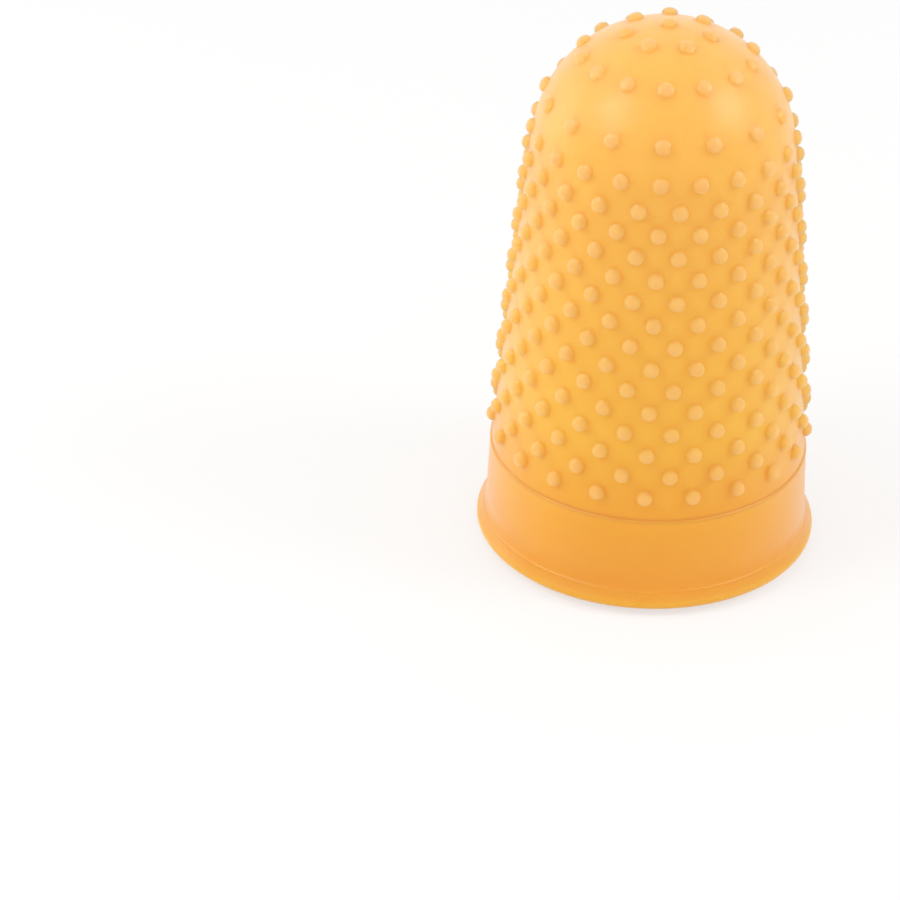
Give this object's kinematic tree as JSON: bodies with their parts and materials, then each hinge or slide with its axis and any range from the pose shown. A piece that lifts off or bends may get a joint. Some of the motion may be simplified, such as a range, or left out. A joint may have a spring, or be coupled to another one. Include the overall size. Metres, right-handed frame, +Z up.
{
  "type": "rubber finger tip",
  "caption": "Soft rubber cap for a fingertip, with a rolled lip, a smooth cuff and a pimpled wall and dome for leafing through paper.",
  "frame": {"origin": "on the axis at the rim, on the surface that the tip stands on", "axes": "+Z up the axis from the open mouth to the closed dome"},
  "size_m": [0.021, 0.021, 0.0342],
  "materials": {
    "rubber": "translucent amber natural rubber, satin"
  },
  "bodies": {
    "root": {"finger_tip": "rubber"}
  },
  "joints": []
}
